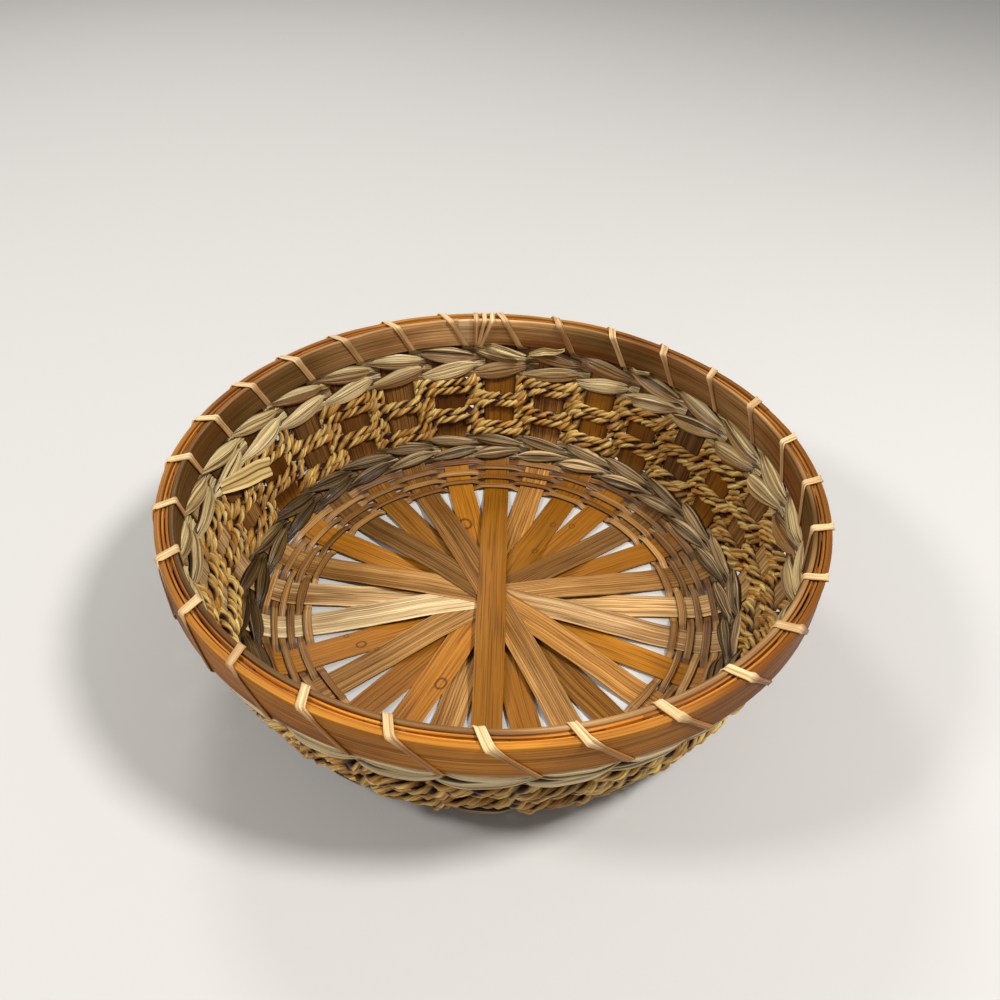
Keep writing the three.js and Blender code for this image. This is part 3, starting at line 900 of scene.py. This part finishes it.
def loose_end(name, from_stake, to_stake, start_way, climb, width, start_width, widest, end_width, number):
    """The blade grows to its width at the share widest. Its two ends are given as shares of the width."""
    share = np.linspace(0, 1, 60)
    places = from_stake + (to_stake - from_stake) * share
    lift = (1.4 + 2.9 * np.minimum(share * 2.5, 1)) * MM
    points, up = ring_points(places, start_way + climb * share, lift)
    line = make_line(points, up)
    rod = bench_rod(name, line, radius=1.0, slice_length=0.6 * MM, sides=40)
    bench = points_of(rod)
    x = bench[:, 0]
    part = x / line["run"][-1]
    grown = np.sin(np.pi / 2 * np.minimum(part / widest, 1)) ** 0.8
    half = width / 2 * np.where(part < widest, start_width + (1 - start_width) * grown,
                                1 - (1 - end_width) * ((part - widest) / (1 - widest)) ** 2)
    across = np.clip(bench[:, 1], -1, 1)
    depth = np.zeros_like(x)
    for fold, deep in end_folds:
        depth = np.maximum(depth, deep * np.exp(-((across - fold) / 0.08) ** 2))
    set_points(rod, np.stack([x, across * fold_spread, bench[:, 2] * end_thickness], axis=1))
    keep_grain(rod, number)
    # Painted shade in the folds.
    paint(rod, "painted_shade", np.clip(depth, 0, 1))
    paint(rod, "tint", np.ones(len(x)))
    bench[:, 1] = across * half
    curl = 0.6 * MM * np.sin(3.2 * np.abs(across) + 2 * part)
    bench[:, 2] = bench[:, 2] * end_thickness * (1 - 0.4 * depth) + curl
    lay(rod, line, bench)
    return rod


# For each end: its first and last stake, way up the wall, climb, width, and the shares that give its outline
strand_ends = {"upper_leaf_2_b": [(7.35, 6.58, 66.2 * MM, -4.6 * MM, 3.0 * MM, 0.4, 0.5, 0.35),
                                  (4.6, 4.1, 65.2 * MM, 3.4 * MM, 1.7 * MM, 0.5, 0.4, 0.6)]}


def make_leaf(node, way, pitch, inside_stakes, slant, material, slot, shade_at, number):
    rng = np.random.default_rng(500 + number)
    line, places = leaf_line(way, pitch, inside_stakes, slant, rng)
    parts = [make_blade(node + "_blade", line, places, pitch, shade_at, rng, number),
             make_liner(node, line, pitch, number)]
    for i, end in enumerate(strand_ends.get(node, [])):
        parts.append(loose_end(f"{node}_end_{i}", *end, number + 0.1 * i))
    dress(join(parts, node + "_folded"), material, slot, node)


def leaf_band(name, count, first_way, pitch, material, shade_at, number):
    for row in range(count):
        for inside_stakes, strand in enumerate("ab"):
            make_leaf(f"{name}_{row + 1}_{strand}", first_way + (row + 0.5) * pitch, pitch, inside_stakes,
                      1 if row % 2 else -1, material, name, shade_at, number + 2 * row + inside_stakes)


lower_leaf = fibre_material(
    "lower_leaf", "7c6034", "6c5838", "6b5028", across=2600, along=9,
    contrast=0.85, stain_amount=0.34, tint_colour="f4d094", painted_shade_colour="32220c",
    roughness=0.34, bump=0.15, lines=0.85, gloss=0.3)
upper_leaf = fibre_material(
    "upper_leaf", "aa8044", "a0824f", "a67e44", across=2800, along=9,
    contrast=0.65, stain_amount=0.31, tint_colour="ffecb0", painted_shade_colour="361f08",
    roughness=0.34, bump=0.15, lines=0.75, gloss=0.5)
# How much paler the leaf is at some stakes. In the lower band it is painted darker on the left, stakes 11
# to 16, as painted shade. In the upper band newer, paler leaf was used on the left, the leaf is painted
# paler on to the front, to stake 24, as painted light on the outside of the wall, and it is a little darker
# at the back, stakes 6 to 9.
lower_painted_shade = ((0, 4, 9, 11, 16, 18), (0.1, 0.3, 0.1, -0.7, -0.7, 0.1))
upper_paleness_and_painted_light = ((0, 4, 6, 9, 11.5, 12.5, 24, 26), (0.3, 0.1, -0.2, -0.2, 0.2, 1.0, 1.0, 0.4))
lower_start, lower_pitch = 17.1 * MM, 5.3 * MM
upper_start, upper_pitch = 51.9 * MM, 6.7 * MM
leaf_band("lower_leaf", 2, lower_start, lower_pitch, lower_leaf, lower_painted_shade, 60)
leaf_band("upper_leaf", 2, upper_start, upper_pitch, upper_leaf, upper_paleness_and_painted_light, 70)
print("8 leaf strands")

# %% [markdown]
# ## Rim
# Two flat bamboo hoops hold the stake ends between them, with a thin packing strip on each side. They are
# bench strips again, laid round a circle at the height of their CAD nodes. Their edges are rounded, and
# their top edges waver, because the hoops are split by hand.

# %% Make the hoops and packing
def hoop_material(name, main, edge):
    return fibre_material(
        name, main, "806038", "7a4418", across=2600, along=10, contrast=0.4,
        stain_amount=0.42, tint_colour=edge, roughness=0.45, bump=0.08, far="e0c090", lines=0.35,
        flecks=0.25, gloss=0.1)


outer_hoop_bamboo = hoop_material("outer_hoop_bamboo", "84521a", "d48c30")
inner_hoop_bamboo = hoop_material("inner_hoop_bamboo", "674a22", "e8b678")
packing_bamboo = fibre_material(
    "packing_bamboo", "b0702a", "86643c", "8a5a2a", across=2600,
    along=10, contrast=0.5, stain_amount=0.4, tint_colour="fca032", roughness=0.45, bump=0.1,
    lines=0.7, gloss=0.12)
hoop_end = 4.5 * MM
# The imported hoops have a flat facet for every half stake, which lies this much nearer than its corners
facet_share = math.cos(math.pi / (2 * stake_count))


def circle_line(radius, height, start, rng, wobble):
    turn = np.linspace(0, 2 * math.pi, 721) + start
    reach = radius + wander(rng, turn * radius, 45 * MM, wobble)
    level = height + wander(rng, turn * radius, 60 * MM, wobble)
    return make_line(turned(reach, turn, level), np.tile([0.0, 0.0, 1.0], (len(turn), 1)))


def make_hoop(node, material, slot, start, number, shade_at):
    rng = np.random.default_rng(800 + number)
    low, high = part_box(node)
    shape = points_of(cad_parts[node])
    radii = np.hypot(shape[:, 0], shape[:, 1])
    inside, outside = radii.min() * facet_share, radii.max() * facet_share
    line = circle_line((inside + outside) / 2, (low.z + high.z) / 2, start, rng, 0.1 * MM)
    strip = bench_strip(node, line, high.z - low.z, outside - inside,
                        slice_length=2 * MM, rounding=0.3 * MM, columns=3)
    bench = keep_grain(strip, number)
    turns = (start / (2 * math.pi) + bench[:, 0] / line["run"][-1]) % 1
    shade = 0.35 + wander(rng, bench[:, 0], 30 * MM, 0.35) + np.interp(turns, *shade_at)
    # Painted highlight along the top edge, added to the tint, which also holds the painted light by place.
    top_edge_highlight = np.clip(bench[:, 1] / (high.z - low.z) * 20 - 9, 0, 1)
    at_end = (bench[:, 0] > line["run"][-1] - hoop_end) * (node == "rim_inner_hoop")
    paint(strip, "tint", np.clip(shade + 0.2 * top_edge_highlight, 0, 1) * (1 - at_end))
    paint(strip, "far", at_end)
    edge = np.clip(np.abs(bench[:, 1]) / (high.z - low.z) * 2, 0, 1) ** 3
    bench[:, 1] += np.sign(bench[:, 1]) * edge * wander(rng, bench[:, 0], 14 * MM, 0.18 * MM)
    lay(strip, line, bench)
    dress(strip, material, slot, node)


# How much paler the hoops are, by share of a turn from +X: 0.25 is the back, 0.5 left and 0.75 the front.
# This is partly the hoops' own patches and partly painted light: a painted highlight on the outer hoop and
# the packing at the front, and painted shade on the left.
make_hoop("rim_outer_hoop", outer_hoop_bamboo, "hoop", 0.4, 90,
          ((0, 0.35, 0.5, 0.62, 0.75, 0.83, 1), (-0.4, 0, -0.4, -0.2, 0.5, -0.4, -0.4)))
make_hoop("rim_inner_hoop", inner_hoop_bamboo, "hoop", 1.75, 91,
          ((0, 0.12, 0.18, 0.24, 0.3, 0.38, 0.6, 0.7, 0.8, 1),
           (-0.3, -0.4, -0.1, 0.8, 0.8, -0.5, -0.8, -0.1, 0, -0.3)))
packing_painted_light = ((0, 0.5, 0.62, 0.75, 0.85, 1), (-0.3, -0.3, 0, 0.5, -0.2, -0.3))
make_hoop("rim_outer_packing", packing_bamboo, "packing", 2.4, 92, packing_painted_light)
make_hoop("rim_inner_packing", packing_bamboo, "packing", 5.1, 93, packing_painted_light)
print("4 hoops and packing strips")

# %% [markdown]
# ## Lashing
# One pale flat strip is wound round the rim, over each stake, and three close turns tie it off at the back.
# Its route is worked out as corners round the hoops' section, one turn after another, and the corners are
# then rounded, as a damp strip pulled tight would be.

# %% Route of the lashing
lashing_width = 2.3 * MM
lashing_thickness = 0.45 * MM
outer_low, outer_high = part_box("rim_outer_hoop")
inner_points = points_of(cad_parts["rim_inner_hoop"])
rim_outside = outer_high.x
rim_inside = np.hypot(inner_points[:, 0], inner_points[:, 1]).min() * facet_share
stand_off = 0.3 * MM
strip_out, strip_in = rim_outside + stand_off, rim_inside - stand_off
strip_top, strip_low = outer_high.z + stand_off, outer_low.z - stand_off
corner_round = 0.9 * MM
lashed_radius = 95 * MM


def round_corners(route, radius, points_each=5):
    """A smooth path through a list of corner points: each corner becomes a short curve."""
    path = [route[0]]
    for before, corner, after in zip(route, route[1:], route[2:]):
        back, ahead = before - corner, after - corner
        cut_back = corner + back / np.linalg.norm(back) * min(radius, np.linalg.norm(back) * 0.45)
        cut_ahead = corner + ahead / np.linalg.norm(ahead) * min(radius, np.linalg.norm(ahead) * 0.45)
        for share in np.linspace(0, 1, points_each):
            path.append((1 - share) ** 2 * cut_back + 2 * share * (1 - share) * corner
                        + share ** 2 * cut_ahead)
    path.append(route[-1])
    return np.array(path)


def fill_in(path, spacing):
    """More points along a path, by its length in the hoops' section."""
    filled = [path[:1]]
    for a, b in zip(path, path[1:]):
        count = max(1, int(np.linalg.norm((b - a)[:2]) / spacing))
        filled.append(a + (b - a) * (np.arange(1, count + 1) / count)[:, None])
    return np.concatenate(filled)


def wound_line(corners):
    """Corners are (radius, height, stake) of the strip's middle."""
    scale = np.array([1, 1, 1 / (lashed_radius * stake_pitch)])
    route = [np.array(c) / scale for c in corners]
    path = fill_in(round_corners(route, corner_round), 0.8 * MM) * scale
    turn = path[:, 2] * stake_pitch
    points = turned(path[:, 0], turn, path[:, 1])
    ahead = np.gradient(path[:, :2], axis=0)
    out = unit(np.stack([ahead[:, 1], -ahead[:, 0]], axis=1))
    face = turned(out[:, 0], turn, out[:, 1])
    return make_line(points, np.cross(unit(np.gradient(points, axis=0)), face))


# %% [markdown]
# The leans are shares of the space between two stakes: the strip steps aside a little over the top, more on
# its way down inside, and most on its way up outside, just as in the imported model.

# %% Wind the lashing
top_lean, inside_lean, under_lean = 0.12, 0.29, 0.07
tie_width = 1.6 * MM
tie_places = ((7.47, 7.47), (7.32, 7.43), (7.18, 7.39))
top_widening, thinning = 0.15, 0.45
cane = fibre_material(
    "cane", "e8ca96", "b8966a", "b08a58", across=3000, along=30, contrast=0.5,
    stain_amount=0.38, painted_shade_colour="b8946a", roughness=0.4, bump=0.08)


def lashing_corners():
    first = top_splint + top_lean / 2
    corners = [(strip_out, strip_low, first)]
    for wrap in range(stake_count):
        top = first - wrap
        down = top - top_lean - inside_lean
        corners += [(strip_out, strip_top, top), (strip_in, strip_top, top - top_lean),
                    (strip_in, strip_low, down), (strip_out, strip_low, down - under_lean)]
    return corners


def tie_corners():
    corners = []
    for wrap, (top, low) in enumerate(tie_places):
        inside = strip_in - 0.3 * MM * wrap
        corners += [(strip_out, strip_low, low), (strip_out, strip_top, top), (inside, strip_top, top),
                    (inside, strip_low, low)]
    return corners


def wind(node, corners, width, number):
    line = wound_line(corners)
    strip = bench_strip(node, line, width, lashing_thickness, slice_length=0.6 * MM,
                        rounding=0.15 * MM, columns=1)
    bench = keep_grain(strip, number)
    rng = np.random.default_rng(number)
    at = read_line(line, "at", bench[:, 0])
    below = np.clip((strip_top - 0.5 * MM - at[:, 2]) / (3 * MM), 0, 1)
    outside = np.hypot(at[:, 0], at[:, 1]) > (strip_in + strip_out) / 2
    thinned_and_shaded = below * np.where(outside, 1, 0.5)
    bench[:, 1] *= (1 + wander(rng, bench[:, 0], 9 * MM, 0.12)) * (1 + top_widening - thinning * thinned_and_shaded)
    # Painted shade on the strip below the rim's top, half as much on the inside legs.
    paint(strip, "painted_shade", thinned_and_shaded)
    lay(strip, line, bench)
    dress(strip, cane, "lashing", node)


wind("rim_lashing", lashing_corners(), lashing_width, 95)
wind("rim_lashing_tie", tie_corners(), tie_width, 96)
print("lashing wound", stake_count, "times")

# %% [markdown]
# ## Loose leaf ends
# Two more leaf ends stand out of the twining inside the bowl, longer than the rest, tucked in at one end and
# lying over the ropes or the hoop at the other. They are newer leaf, almost the colour of cream.

# %% Make the loose ends
tail_leaf = fibre_material(
    "tail_leaf", "fce8a4", "b09058", "e8c880", across=3000, along=14, contrast=0.5,
    stain_amount=0.32, painted_shade_colour="4a300e", roughness=0.36, bump=0.12, lines=0.6)
for node, *way in (("leaf_tail_long", 13.4, 12.25, 54.4 * MM, -7.6 * MM, 7.6 * MM, 0.55, 0.7, 0.92, 97),
                   ("leaf_tail_short", 6.5, 5.8, 61.9 * MM, 6.4 * MM, 3.0 * MM, 0.2, 0.5, 0.3, 98)):
    dress(loose_end(node + "_folded", *way), tail_leaf, "upper_leaf", node)
print("2 loose ends")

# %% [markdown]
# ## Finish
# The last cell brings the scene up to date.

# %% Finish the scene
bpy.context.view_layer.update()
